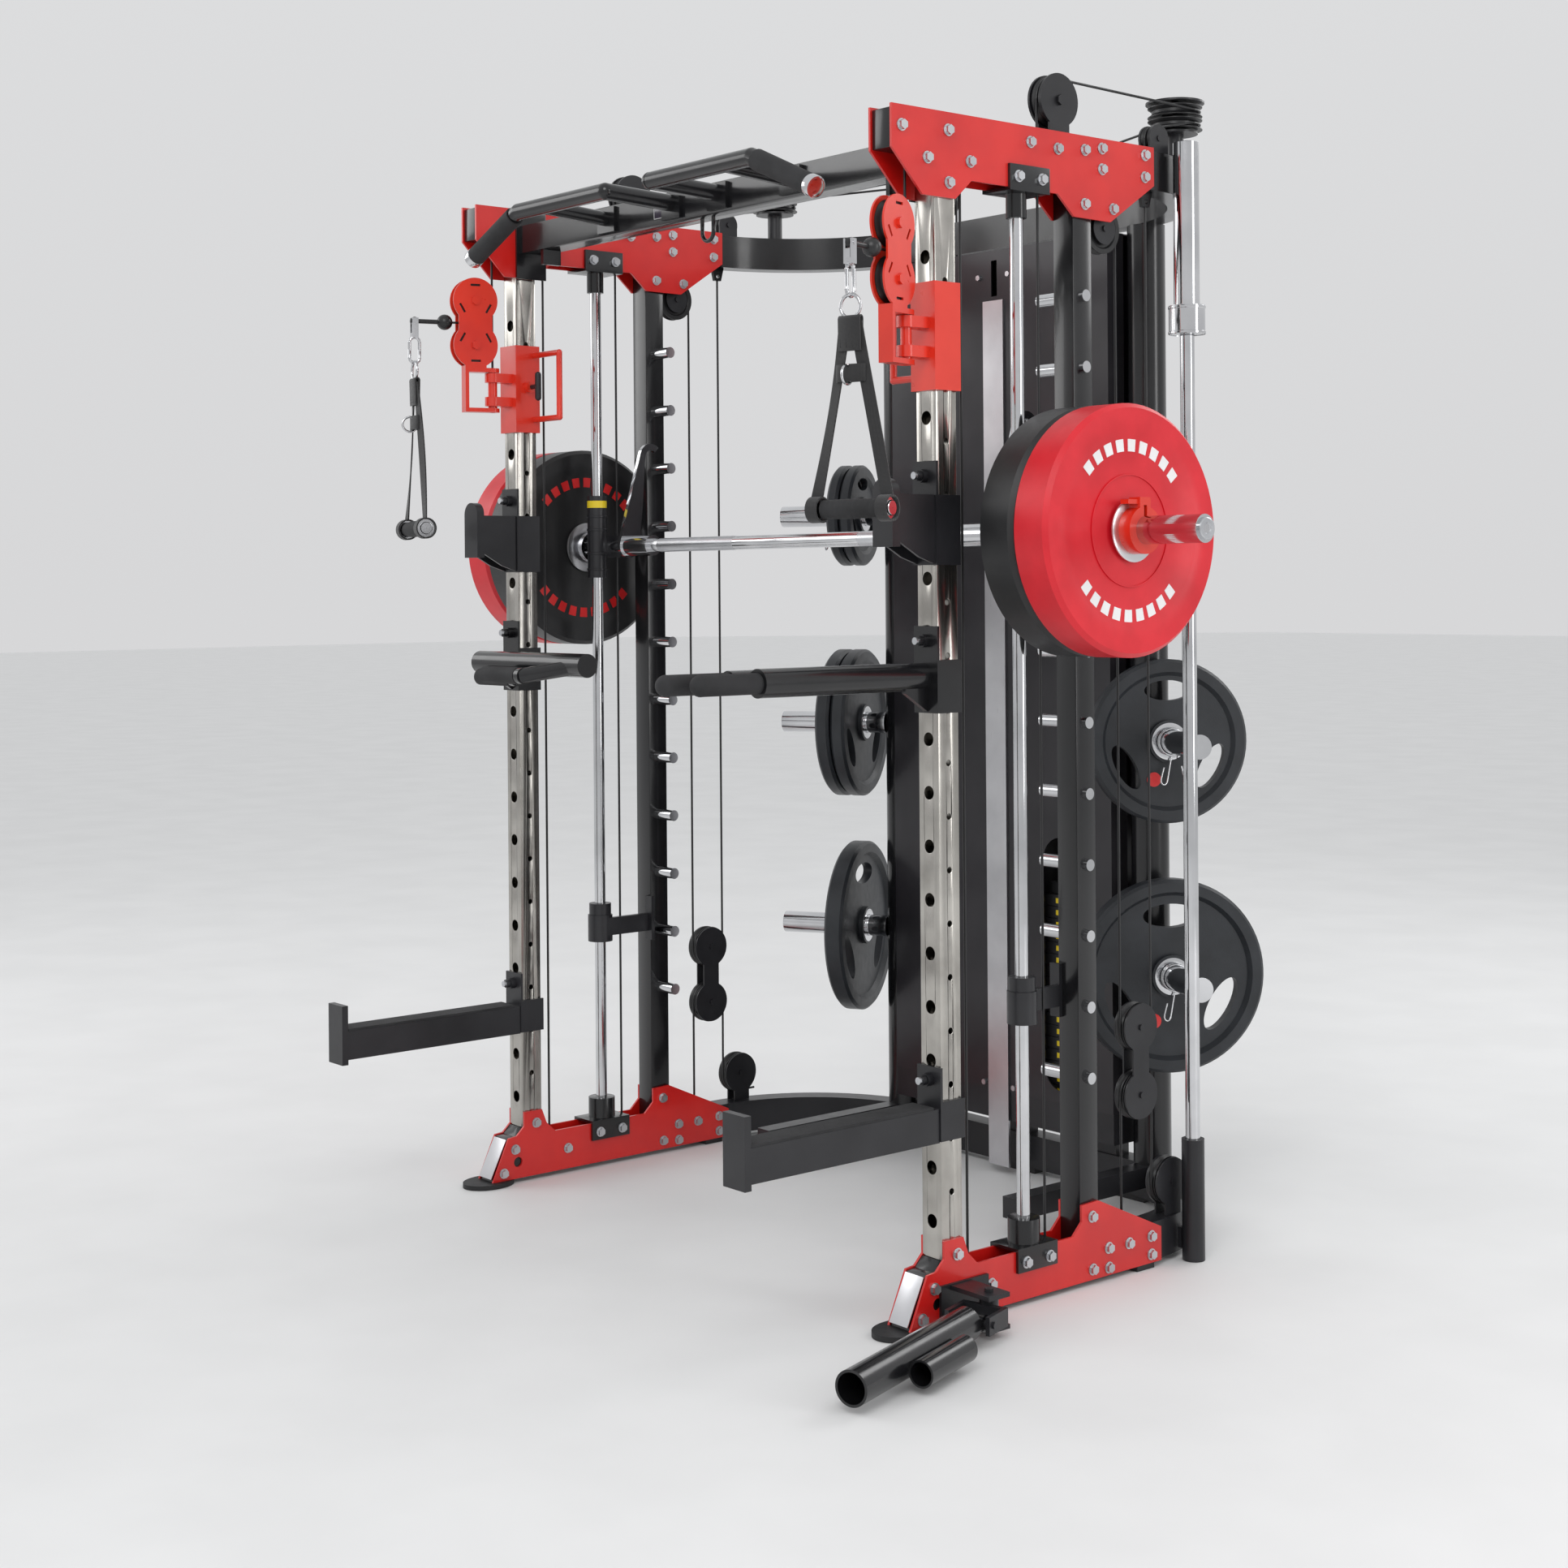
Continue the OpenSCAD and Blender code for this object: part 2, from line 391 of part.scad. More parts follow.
module landmine_bracket() color(c_black) F() {
  bx(W + 0.1, W + 6, 69.5, 186.5, 12, 78);
  for (z = [12, 68]) bx(W + 5.9, lmp[0] + 26, 92, 144, z, z + 8);
  translate([lmp[0], lmp[1], 14]) cylinder(d = 16, h = 68, $fn = 48);
  // floor tube that stores the upright barbell
  translate([bbl[0], bbl[1], 0]) difference() { cylinder(d = 44, h = 235, $fn = 48); translate([0, 0, 12]) cylinder(d = 29.6, h = 230, $fn = 48); }
  bx(687, 696, 722, 748, 20, 60);
}
module LM() translate([lmp[0], lmp[1], 0]) rotate([0, 0, lmt]) children();
module landmine_yoke() color(c_black) F() LM() {
  difference() { translate([0, 0, 24]) cylinder(d = 34, h = 40, $fn = 48); translate([0, 0, 20]) cylinder(d = 16.12, h = 50, $fn = 48); }
  for (x = [-44, 36]) bx(x, x + 8, -80, -12, 26, 58);
  difference() { bx(-40, 40, -24, -12, 26, 58); translate([0, 0, 20]) cylinder(d = 30, h = 50, $fn = 48); }
  cx(-48, -66, 42, 12, 96, 32);
}
module landmine_sleeve() color(c_black) F() LM() difference() {
  union() { cx(-28, -66, 42, 30, 56, 48); cy(0, -461, 42, 60, 378, 48); cy(52, -330, 36, 46, 150, 48); bx(20, 50, -290, -200, 30, 42); }
  cx(-40, -66, 42, 12.12, 80, 48);
  cy(0, -462, 42, 51, 330, 48); cy(52, -331, 36, 39, 140, 48);
}
module top_wheel() translate([XC, twy, twz]) sheave(47, 12.12, 18, 6);
module top_wheel_left() color(c_rub) F() S(-1) top_wheel();
module top_wheel_right() color(c_rub) F() S(1) top_wheel();
module side_cheek(y, z, r, x, zb) { yz(x, 5) union() { translate([y, z]) circle(r = r, $fn = 64); translate([y - 26, zb]) square([52, z - zb]); } }
// direction of the run from the level pulley to the stack pulley
sdir = atan2(col_y - 854, stk_x - 639);
module SP() translate([stk_x - pb * cos(sdir), col_y - pb * sin(sdir), 2200]) rotate([0, 0, sdir - 90]) children();
module pulley_brackets() color(c_black) F() LR() {
  for (x = [XC - 17, XC + 12]) side_cheek(twy, twz, 50, x, 2145.5);
  cx(XC - 21, twy, twz, 12, 42); for (x = [XC - 23, XC + 17]) cx(x, twy, twz, 20, 6, 6);
  for (x = [XC - 14, XC + 11]) {
    side_cheek(692, 2174, 27, x, 2145.5);
    yz(x, 3.5) union() { translate([710, 150]) circle(r = 46, $fn = 64); translate([690, 85.3]) square([44, 60]); }
    yz(x, 3.5) union() { translate([536, 1985]) circle(r = 30, $fn = 48); translate([516, 1985]) square([40, 88]); }
    yz(x, 3.5) union() { for (z = [330, 460]) translate([623, z]) circle(r = 46, $fn = 64); translate([601, 330]) square([44, 130]); }
  }
  for (p = [[692, 2174], [710, 150], [536, 1985], [623, 330], [623, 460]]) cx(XC - 18, p[0], p[1], 12, 36);
  // post with the two level pulleys
  translate([spul[0], spul[1], 2145.3]) { cylinder(d = 34, h = 62, $fn = 48); cylinder(d = 12, h = 124, $fn = 32); translate([0, 0, 58]) cylinder(d = 90, h = 4, $fn = 48); translate([0, 0, 118]) cylinder(d = 116, h = 4, $fn = 48); }
  // stack pulley cheeks
  SP() { for (x = [-15, 11]) yz(x, 4) union() { circle(r = 44, $fn = 64); translate([-14, -54.5]) square([28, 40]); } cx(-18, 0, 0, 12, 36); }
}
module pulley_wheels() color(c_rub) F() LR() {
  translate([XC, 692, 2174]) sheave(26, 12, 18, 5);
  for (p = [[710, 150], [536, 1985], [623, 330], [623, 460]]) translate([XC, p[0], p[1]]) sheave(47, 12, 18, 6);
  for (z = [2221, 2247]) translate([spul[0], spul[1], z]) rotate([0, 90, 0]) sheave(54, 12, 20, 8);
  SP() sheave(47, 12, 18, 6);
}
// steel cables on their fixed runs
module arc0(r, a, d) { rotate_extrude(angle = a, $fn = 40) translate([r, 0]) circle(d = d, $fn = 13); for (t = [0, a]) rotate([0, 0, t]) translate([r, 0, 0]) sphere(d = d + 0.4, $fn = 13); }
module ca(y, z, r, a0, a, d = cable_d) translate([XC, y, z]) rotate([90, 0, 90]) rotate([0, 0, a0]) arc0(r, a, d);
module cr(a, b, d = cable_d) rod(a, b, d, 13);
module cables() color("#0c0c0d") F() LR() {
  cr([XC, piv_y, 1780], [XC, piv_y, 2074.5]);
  cr([XC, 169, 62], [XC, 169, 2074.5]);
  cr([XC, twy - pb, 62], [XC, twy - pb, 2074.5]);
  cr([XC, twy - pb, 2146], [XC, twy - pb, twz]);
  ca(twy, twz, pb, 90, 90);
  cr([XC, twy, twz + pb], [spul[0] + 48.8, spul[1], 2247]);
  translate([spul[0], spul[1], 2247]) arc0(48.8, 72.3, cable_d);
  cr([spul[0] + 48.8 * cos(72.3), spul[1] + 48.8 * sin(72.3), 2247], [stk_x - pb * cos(sdir), col_y - pb * sin(sdir), 2200 + pb]);
  SP() rotate([90, 0, 90]) arc0(pb, 90, cable_d);
  cr([stk_x, col_y, 2200], [stk_x, col_y, stk_z + 460]);
  cr([XC, 668.6, 2146], [XC, 668.6, 2174], 4.4);
  ca(692, 2174, 23.4, 90, 90, 4.4);
  cr([XC, 692, 2197.4], [spul[0] + 48.8, spul[1], 2221], 4.4);
  translate([spul[0], spul[1], 2221]) arc0(48.8, 150, 4.4);
  cr([XC, 666.8, 2039.8], [XC, 666.8, 460]);
  ca(623, 460, pb, 180, 180);
  cr([XC, 579.2, 460], [XC, 579.8, 1985]);
  ca(536, 1985, pb, 0, 180);
  cr([XC, 536 - pb, 1985], [XC, 536 - pb, 62]);
  cr([XC, 579.2, 62], [XC, 579.2, 330]);
  ca(623, 330, pb, 0, 180);
  cr([XC, 666.8, 330], [XC, 666.2, 150]);
  ca(710, 150, pb, 180, 90);
  cr([XC, 710, 106.2], [XC, 760, 106.2]);
}
module ibolts(p, x) for (b = p) translate([x, b[0], b[1]]) rotate([0, 90, 0]) hexbolt();
module bolts() color(c_zinc) F() LR() {
  ibolts(top_bolts, W); ibolts(base_bolts, W); ibolts(rod_bolts, W + 6);
  mirror([1, 0, 0]) { ibolts([for (i = [3:13]) if (i != 4) top_bolts[i]], -XI); ibolts(base_bolts, -XI); ibolts(rod_bolts, -XI + 6); }
  for (z = [196, 2000]) cy(46, tower_y - 6, z, 12, 5.8, 16);
  for (p = [[fu0 - 32, 1214], [fu0 - 32, 1506], [fu0 - 32, 437]]) cy(XC, p[0], p[1], 13, 6, 24);
}

side_plates();
frame_beams();
foot_pads();
front_uprights();
rear_uprights();
front_crossbar();
pullup_handles();
fixed_grips();
rear_top_band();
rear_base_band();
storage_columns();
storage_pegs();
storage_plates();
tower_shroud();
tower_strip();
stack_left();
stack_right();
selector_left();
selector_right();
guide_rods();
rod_mounts();
rack_pegs();
smith_bar();
bar_hooks();
bar_bearings();
bumpers_black();
bumpers_red();
lock_jaws();
safety_stops();
carriage_left();
carriage_right();
pull_pin_left();
pull_pin_right();
swivel_block_left();
swivel_block_right();
wheel_left_up();
wheel_left_low();
wheel_right_up();
wheel_right_low();
ball_stop_left();
ball_stop_right();
handle_hw_left();
handle_hw_right();
strap_left();
strap_right();
grip_left();
grip_right();
j_cups();
dip_bars();
spotter_arms();
barbell();
landmine_bracket();
landmine_yoke();
landmine_sleeve();
top_wheel_left();
top_wheel_right();
pulley_brackets();
pulley_wheels();
cables();
bolts();
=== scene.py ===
import bpy, bmesh, math, json, random
from mathutils import Vector, Matrix, Quaternion


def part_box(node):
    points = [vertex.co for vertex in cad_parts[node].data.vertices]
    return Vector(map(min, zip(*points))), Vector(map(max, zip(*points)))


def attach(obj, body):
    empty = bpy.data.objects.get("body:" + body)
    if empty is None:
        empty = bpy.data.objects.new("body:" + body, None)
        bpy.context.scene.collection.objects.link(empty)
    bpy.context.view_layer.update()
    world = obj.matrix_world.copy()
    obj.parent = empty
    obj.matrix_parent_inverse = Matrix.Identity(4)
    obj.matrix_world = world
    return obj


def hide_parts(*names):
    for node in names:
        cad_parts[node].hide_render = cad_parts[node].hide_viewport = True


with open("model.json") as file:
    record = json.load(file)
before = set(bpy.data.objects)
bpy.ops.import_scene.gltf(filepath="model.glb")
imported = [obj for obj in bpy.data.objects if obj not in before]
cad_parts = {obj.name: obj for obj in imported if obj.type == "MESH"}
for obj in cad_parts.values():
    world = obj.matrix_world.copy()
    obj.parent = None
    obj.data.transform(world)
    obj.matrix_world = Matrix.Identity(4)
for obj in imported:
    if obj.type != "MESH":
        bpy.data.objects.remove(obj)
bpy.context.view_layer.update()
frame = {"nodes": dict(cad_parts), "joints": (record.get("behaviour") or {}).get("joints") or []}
N = frame["nodes"]
JOINTS = {j["name"]: j for j in frame["joints"]}
rnd = random.Random(7)
SC = bpy.context.scene


# ------------------------------------------------------------------ camera
OY = (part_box("side_plates")[0].y * 1000 + 23) / 1000.0   # the top plates start 23 mm before the foot tips
cam_data = bpy.data.cameras.new("cam")
cam = bpy.data.objects.new("cam", cam_data)
SC.collection.objects.link(cam)
SC.camera = cam
az, pitch, roll = math.radians(50.19), math.radians(-0.178), math.radians(-0.446)
fwd = Vector((-math.sin(az), math.cos(az), 0)); right = Vector((math.cos(az), math.sin(az), 0)); up = Vector((0, 0, 1))
f2 = math.cos(pitch) * fwd + math.sin(pitch) * up
u2 = -math.sin(pitch) * fwd + math.cos(pitch) * up
r3 = math.cos(roll) * right + math.sin(roll) * u2
u3 = -math.sin(roll) * right + math.cos(roll) * u2
m = Matrix((( r3.x, u3.x, -f2.x), (r3.y, u3.y, -f2.y), (r3.z, u3.z, -f2.z))).to_4x4()
m.translation = Vector((3.6469, -2.7268 + OY, 1.3137))
cam.matrix_world = m
cam_data.sensor_width = 36
cam_data.lens = 36 * 2838.785 / 1932
cam_data.shift_x = (966 - 967.678) / 1932
cam_data.shift_y = (730.312 - 966) / 1932
cam_data.clip_start, cam_data.clip_end = 0.05, 60


# ------------------------------------------------------------------ materials
def new_mat(name):
    mt = bpy.data.materials.new(name)
    mt.use_nodes = True
    nt = mt.node_tree
    b = nt.nodes["Principled BSDF"]
    return mt, nt, b


def noise(nt, scale, detail=3, rough=0.5, stretch=None):
    tc = nt.nodes.new("ShaderNodeTexCoord")
    mp = nt.nodes.new("ShaderNodeMapping")
    nt.links.new(tc.outputs["Object"], mp.inputs["Vector"])
    if stretch:
        mp.inputs["Scale"].default_value = stretch
    n = nt.nodes.new("ShaderNodeTexNoise")
    n.inputs["Scale"].default_value = scale
    n.inputs["Detail"].default_value = detail
    n.inputs["Roughness"].default_value = rough
    nt.links.new(mp.outputs["Vector"], n.inputs["Vector"])
    return n


def ramp(nt, src, a, b, lo=0.35, hi=0.65):
    r = nt.nodes.new("ShaderNodeValToRGB")
    r.color_ramp.elements[0].position = lo
    r.color_ramp.elements[1].position = hi
    r.color_ramp.elements[0].color = (*a, 1)
    r.color_ramp.elements[1].color = (*b, 1)
    nt.links.new(src, r.inputs["Fac"])
    return r


def mrange(nt, src, lo, hi):
    r = nt.nodes.new("ShaderNodeMapRange")
    r.inputs["To Min"].default_value = lo
    r.inputs["To Max"].default_value = hi
    nt.links.new(src, r.inputs["Value"])
    return r


def bump(nt, bsdf, src, strength, dist):
    bp = nt.nodes.new("ShaderNodeBump")
    bp.inputs["Strength"].default_value = strength
    bp.inputs["Distance"].default_value = dist
    nt.links.new(src, bp.inputs["Height"])
    nt.links.new(bp.outputs["Normal"], bsdf.inputs["Normal"])
    return bp


def paint(name, a, b, rough=(0.25, 0.36), coat=0.35, peel=900, strength=0.06, spec=0.5, metallic=0.0):
    mt, nt, bs = new_mat(name)
    n1 = noise(nt, 7, 4)
    c = ramp(nt, n1.outputs["Fac"], a, b)
    nt.links.new(c.outputs["Color"], bs.inputs["Base Color"])
    n2 = noise(nt, 34, 5)
    r = mrange(nt, n2.outputs["Fac"], rough[0], rough[1])
    nt.links.new(r.outputs["Result"], bs.inputs["Roughness"])
    bs.inputs["Coat Weight"].default_value = coat
    bs.inputs["Coat Roughness"].default_value = 0.12
    bs.inputs["Metallic"].default_value = metallic
    bs.inputs["Specular IOR Level"].default_value = spec
    n3 = noise(nt, peel, 2)
    bump(nt, bs, n3.outputs["Fac"], strength, 0.0004)
    return mt


def metal(name, a, b, rough=(0.08, 0.16), stretch=(60, 60, 2), scale=20, strength=0.02):
    mt, nt, bs = new_mat(name)
    bs.inputs["Metallic"].default_value = 1
    n1 = noise(nt, 9, 4)
    c = ramp(nt, n1.outputs["Fac"], a, b)
    nt.links.new(c.outputs["Color"], bs.inputs["Base Color"])
    n2 = noise(nt, scale, 5, 0.6, stretch)
    r = mrange(nt, n2.outputs["Fac"], rough[0], rough[1])
    nt.links.new(r.outputs["Result"], bs.inputs["Roughness"])
    bump(nt, bs, n2.outputs["Fac"], strength, 0.0003)
    return mt


def rubbery(name, a, b, rough=(0.5, 0.65), scale=700, strength=0.12, dist=0.0005):
    mt, nt, bs = new_mat(name)
    n1 = noise(nt, 12, 4)
    c = ramp(nt, n1.outputs["Fac"], a, b)
    nt.links.new(c.outputs["Color"], bs.inputs["Base Color"])
    n2 = noise(nt, 60, 5)
    r = mrange(nt, n2.outputs["Fac"], rough[0], rough[1])
    nt.links.new(r.outputs["Result"], bs.inputs["Roughness"])
    n3 = noise(nt, scale, 3)
    bump(nt, bs, n3.outputs["Fac"], strength, dist)
    return mt


def weave(name, a, b, pitch=0.0016, axis="Z"):
    """woven webbing: two crossed wave patterns"""
    mt, nt, bs = new_mat(name)
    tc = nt.nodes.new("ShaderNodeTexCoord")
    outs = []
    for d in ("X", "Z"):
        w = nt.nodes.new("ShaderNodeTexWave")
        w.wave_type = "BANDS"
        w.bands_direction = d
        w.inputs["Scale"].default_value = 0.31 / pitch
        w.inputs["Distortion"].default_value = 0.4
        nt.links.new(tc.outputs["Object"], w.inputs["Vector"])
        outs.append(w.outputs["Fac"])
    mul = nt.nodes.new("ShaderNodeMath"); mul.operation = "MULTIPLY"
    nt.links.new(outs[0], mul.inputs[0]); nt.links.new(outs[1], mul.inputs[1])
    c = ramp(nt, mul.outputs[0], a, b, 0.1, 0.8)
    nt.links.new(c.outputs["Color"], bs.inputs["Base Color"])
    bs.inputs["Roughness"].default_value = 0.82
    bs.inputs["Sheen Weight"].default_value = 0.25
    bump(nt, bs, mul.outputs[0], 0.6, 0.0006)
    return mt


M = {}
M["red"] = paint("red_powder", (0.55, 0.006, 0.005), (0.66, 0.013, 0.009), (0.26, 0.38), 0.35)
M["orange"] = paint("red_arm", (0.66, 0.022, 0.008), (0.78, 0.036, 0.014), (0.24, 0.36), 0.45)
M["black"] = paint("gloss_black", (0.0055, 0.0055, 0.0062), (0.010, 0.010, 0.0115), (0.16, 0.30), 0.35, spec=0.38)
M["satin"] = paint("satin_black", (0.010, 0.010, 0.012), (0.020, 0.020, 0.023), (0.30, 0.44), 0.10, 1300, 0.1, spec=0.4)
M["char"] = paint("charcoal_sheet", (0.014, 0.013, 0.016), (0.024, 0.022, 0.026), (0.28, 0.40), 0.2, 1500, 0.08, metallic=0.2)
M["chrome"] = metal("chrome", (0.56, 0.565, 0.58), (0.68, 0.685, 0.70), (0.05, 0.13))
M["gun"] = metal("gunmetal_polished", (0.34, 0.325, 0.30), (0.52, 0.50, 0.465), (0.14, 0.30), (90, 90, 1.2), 14, 0.05)
M["zinc"] = metal("zinc", (0.50, 0.51, 0.53), (0.64, 0.65, 0.67), (0.22, 0.38), (1, 1, 1), 200, 0.05)
M["alu"] = metal("satin_aluminium", (0.60, 0.60, 0.62), (0.70, 0.70, 0.72), (0.24, 0.36), (80, 80, 1), 12, 0.04)
M["rubber"] = rubbery("black_rubber", (0.007, 0.007, 0.008), (0.014, 0.014, 0.015))
M["bumper_red"] = rubbery("red_urethane", (0.60, 0.006, 0.016), (0.70, 0.012, 0.024), (0.34, 0.46), 900, 0.06, 0.0003)
M["bumper_black"] = rubbery("black_urethane", (0.009, 0.009, 0.010), (0.017, 0.017, 0.018), (0.36, 0.50), 900, 0.08, 0.0003)
M["plate"] = rubbery("plate_rubber", (0.010, 0.012, 0.015), (0.020, 0.023, 0.028), (0.34, 0.52), 420, 0.25, 0.0007)
M["wheel"] = rubbery("nylon_black", (0.008, 0.008, 0.009), (0.018, 0.018, 0.019), (0.28, 0.42), 260, 0.05)
M["stack"] = paint("stack_iron", (0.010, 0.010, 0.011), (0.022, 0.022, 0.024), (0.40, 0.58), 0.05, 500, 0.3)
M["yellow"] = paint("yellow_mark", (0.72, 0.52, 0.01), (0.80, 0.60, 0.02), (0.35, 0.5), 0.1)
M["white"] = paint("white_mark", (0.78, 0.78, 0.78), (0.86, 0.86, 0.86), (0.4, 0.5), 0.1)
M["cable"] = rubbery("cable_jacket", (0.006, 0.006, 0.007), (0.012, 0.012, 0.013), (0.28, 0.4), 1200, 0.05)
M["foam"] = rubbery("grip_foam", (0.012, 0.012, 0.013), (0.026, 0.026, 0.028), (0.7, 0.85), 1500, 0.5, 0.0009)
M["web"] = weave("webbing", (0.010, 0.010, 0.011), (0.045, 0.043, 0.043))
M["label"] = paint("label_blank", (0.020, 0.012, 0.030), (0.035, 0.020, 0.050), (0.2, 0.3), 0.5)
M["reddot"] = paint("badge_red", (0.62, 0.010, 0.012), (0.72, 0.02, 0.02), (0.3, 0.4), 0.3)

ASSIGN = {
    "side_plates": "red", "frame_beams": "black", "foot_pads": "rubber", "front_uprights": "gun", "rear_uprights": "black",
    "front_crossbar": "black", "pullup_handles": "black", "fixed_grips": "foam", "rear_top_band": "black", "rear_base_band": "satin",
    "storage_columns": "black", "storage_pegs": "chrome", "storage_plates": "plate", "tower_shroud": "char", "tower_strip": "alu",
    "stack_left": "stack", "stack_right": "stack", "selector_left": "yellow", "selector_right": "yellow", "guide_rods": "chrome",
    "rod_mounts": "black", "rack_pegs": "chrome", "smith_bar": "chrome", "bar_hooks": "chrome", "bar_bearings": "satin",
    "bumpers_black": "bumper_black", "bumpers_red": "bumper_red", "lock_jaws": "orange", "safety_stops": "satin",
    "pull_pin_left": "satin", "pull_pin_right": "satin", "ball_stop_left": "wheel", "ball_stop_right": "wheel",
    "handle_hw_left": "chrome", "handle_hw_right": "chrome", "j_cups": "satin", "dip_bars": "black", "spotter_arms": "satin",
    "barbell": "chrome", "landmine_bracket": "satin", "landmine_yoke": "satin", "landmine_sleeve": "black",
    "pulley_brackets": "satin", "pulley_wheels": "wheel", "cables": "cable", "bolts": "zinc",
}
BEVEL = {"front_crossbar", "frame_beams", "front_uprights", "rear_uprights", "rod_mounts"}
for n, o in N.items():
    key = ASSIGN.get(n)
    if key is None:
        key = ("orange" if n.startswith(("carriage", "swivel_block")) else "wheel" if "wheel" in n else "web" if n.startswith("strap") else "foam")
    o.data.materials.clear()
    o.data.materials.append(M[key])
    for p in o.data.polygons:
        p.use_smooth = True
        p.material_index = 0
    w = o.modifiers.new("weld", "WELD"); w.merge_threshold = 0.00001
    if n in BEVEL:
        b = o.modifiers.new("bevel", "BEVEL"); b.width = 0.0012; b.segments = 2; b.limit_method = "ANGLE"; b.angle_limit = math.radians(50)
    e = o.modifiers.new("edge", "EDGE_SPLIT"); e.split_angle = math.radians(32)


# ------------------------------------------------------------------ mesh helpers
def obj_from_bm(name, bm, mat, body, smooth=True, split=40):
    me = bpy.data.meshes.new(name)
    bmesh.ops.recalc_face_normals(bm, faces=bm.faces)
    bm.to_mesh(me); bm.free()
    o = bpy.data.objects.new(name, me)
    SC.collection.objects.link(o)
    me.materials.append(mat)
    for p in me.polygons:
        p.use_smooth = smooth
    if smooth and split:
        e = o.modifiers.new("edge", "EDGE_SPLIT"); e.split_angle = math.radians(split)
    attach(o, body)
    return o


def lathe(bm, prof, origin, axis, segs=48, closed=True):
    """revolve (r, h) points about axis through origin"""
    axis = Vector(axis).normalized()
    q = Vector((0, 0, 1)).rotation_difference(axis)
    rings = []
    for r, h in prof:
        ring = []
        for i in range(segs):
            a = 2 * math.pi * i / segs
            ring.append(bm.verts.new(Vector(origin) + q @ Vector((r * math.cos(a), r * math.sin(a), h))))
        rings.append(ring)
    k = len(rings)
    for j in range(k if closed else k - 1):
        A, B = rings[j], rings[(j + 1) % k]
        for i in range(segs):
            bm.faces.new((A[i], A[(i + 1) % segs], B[(i + 1) % segs], B[i]))


def tube(bm, pts, r, segs=12, closed=False, caps=True):
    pts = [Vector(p) for p in pts]
    n = len(pts)
    rings = []
    prev = None
    for i, p in enumerate(pts):
        if closed:
            t = (pts[(i + 1) % n] - pts[i - 1]).normalized()
        else:
            t = (pts[min(i + 1, n - 1)] - pts[max(i - 1, 0)]).normalized()
        if prev is None:
            ref = Vector((0, 0, 1)) if abs(t.z) < 0.9 else Vector((1, 0, 0))
            u = t.cross(ref).normalized()
        else:
            u = (prev - t * prev.dot(t)).normalized()
        prev = u
        v = t.cross(u)
        rings.append([bm.verts.new(p + r * (math.cos(2 * math.pi * k / segs) * u + math.sin(2 * math.pi * k / segs) * v)) for k in range(segs)])
    m_ = n if closed else n - 1
    for j in range(m_):
        A, B = rings[j], rings[(j + 1) % n]
        for i in range(segs):
            bm.faces.new((A[i], A[(i + 1) % segs], B[(i + 1) % segs], B[i]))
    if caps and not closed:
        bm.faces.new(rings[0][::-1]); bm.faces.new(rings[-1])


def box(bm, lo, hi, mtx=None, bev=0.0):
    vs = [Vector((x, y, z)) for x in (lo[0], hi[0]) for y in (lo[1], hi[1]) for z in (lo[2], hi[2])]
    if mtx is not None:
        vs = [mtx @ v for v in vs]
    v = [bm.verts.new(c) for c in vs]
    fs = [(0, 1, 3, 2), (4, 6, 7, 5), (0, 4, 5, 1), (2, 3, 7, 6), (0, 2, 6, 4), (1, 5, 7, 3)]
    faces = [bm.faces.new([v[i] for i in f]) for f in fs]
    if bev:
        es = list({e for f in faces for e in f.edges})
        bmesh.ops.bevel(bm, geom=es, offset=bev, segments=2, affect="EDGES", profile=0.6)


def P(x, y, z):
    """working millimetres (front foot tip y = 0) to row-frame metres"""
    return Vector((x / 1000, y / 1000 + OY, z / 1000))


BAR = Vector(JOINTS["bar_turn"]["pos_m"])
SIDES = (("left", -1), ("right", 1))

# ------------------------------------------------------------------ bumper hubs and blank bands
bm = bmesh.new()
for s in (-1, 1):
    for x0, d in ((0.757, -1), (0.838, 1), (0.840, -1), (0.9205, 1)):
        o = (s * (x0), BAR.y, BAR.z)
        lathe(bm, [(0.0252, -0.001), (0.0252, 0.0018), (0.028, 0.0024), (0.052, 0.0024), (0.056, 0.0012), (0.0565, -0.001)], o, (s * d, 0, 0), 64)
obj_from_bm("bumper_hub_rings", bm, M["alu"], "bar")
bm = bmesh.new()
for s in (-1, 1):
    x = s * 0.9212
    for r in (0.098, 0.170):
        lathe(bm, [(r, -0.0105 if r < 0.15 else -0.0068), (r, -0.0080 if r < 0.15 else -0.0048), (r + 0.0022, -0.0080 if r < 0.15 else -0.0048), (r + 0.0022, -0.0105 if r < 0.15 else -0.0068)], (x, BAR.y, BAR.z), (s, 0, 0), 96)
obj_from_bm("bumper_rings", bm, M["bumper_red"], "bar")


def arc_bars(bm, cx, face_x, s, r0, r1, start, end, n, t=0.0012, fill=0.62):
    """short raised blank bars set round an arc on a disc face"""
    step = (end - start) / n
    for i in range(n):
        a0 = math.radians(start + step * i); a1 = math.radians(start + step * (i + fill))
        ring = []
        k = 4
        for (r, aa) in [(r0, [a0 + (a1 - a0) * j / k for j in range(k + 1)]), (r1, [a1 - (a1 - a0) * j / k for j in range(k + 1)])]:
            for a in aa:
                ring.append((r * math.cos(a), r * math.sin(a)))
        lo = [bm.verts.new((face_x, cx[1] + c, cx[2] + d)) for c, d in ring]
        hi = [bm.verts.new((face_x + s * t, cx[1] + c, cx[2] + d)) for c, d in ring]
        bm.faces.new(hi); bm.faces.new(lo[::-1])
        m2 = len(ring)
        for j in range(m2):
            bm.faces.new((lo[j], lo[(j + 1) % m2], hi[(j + 1) % m2], hi[j]))


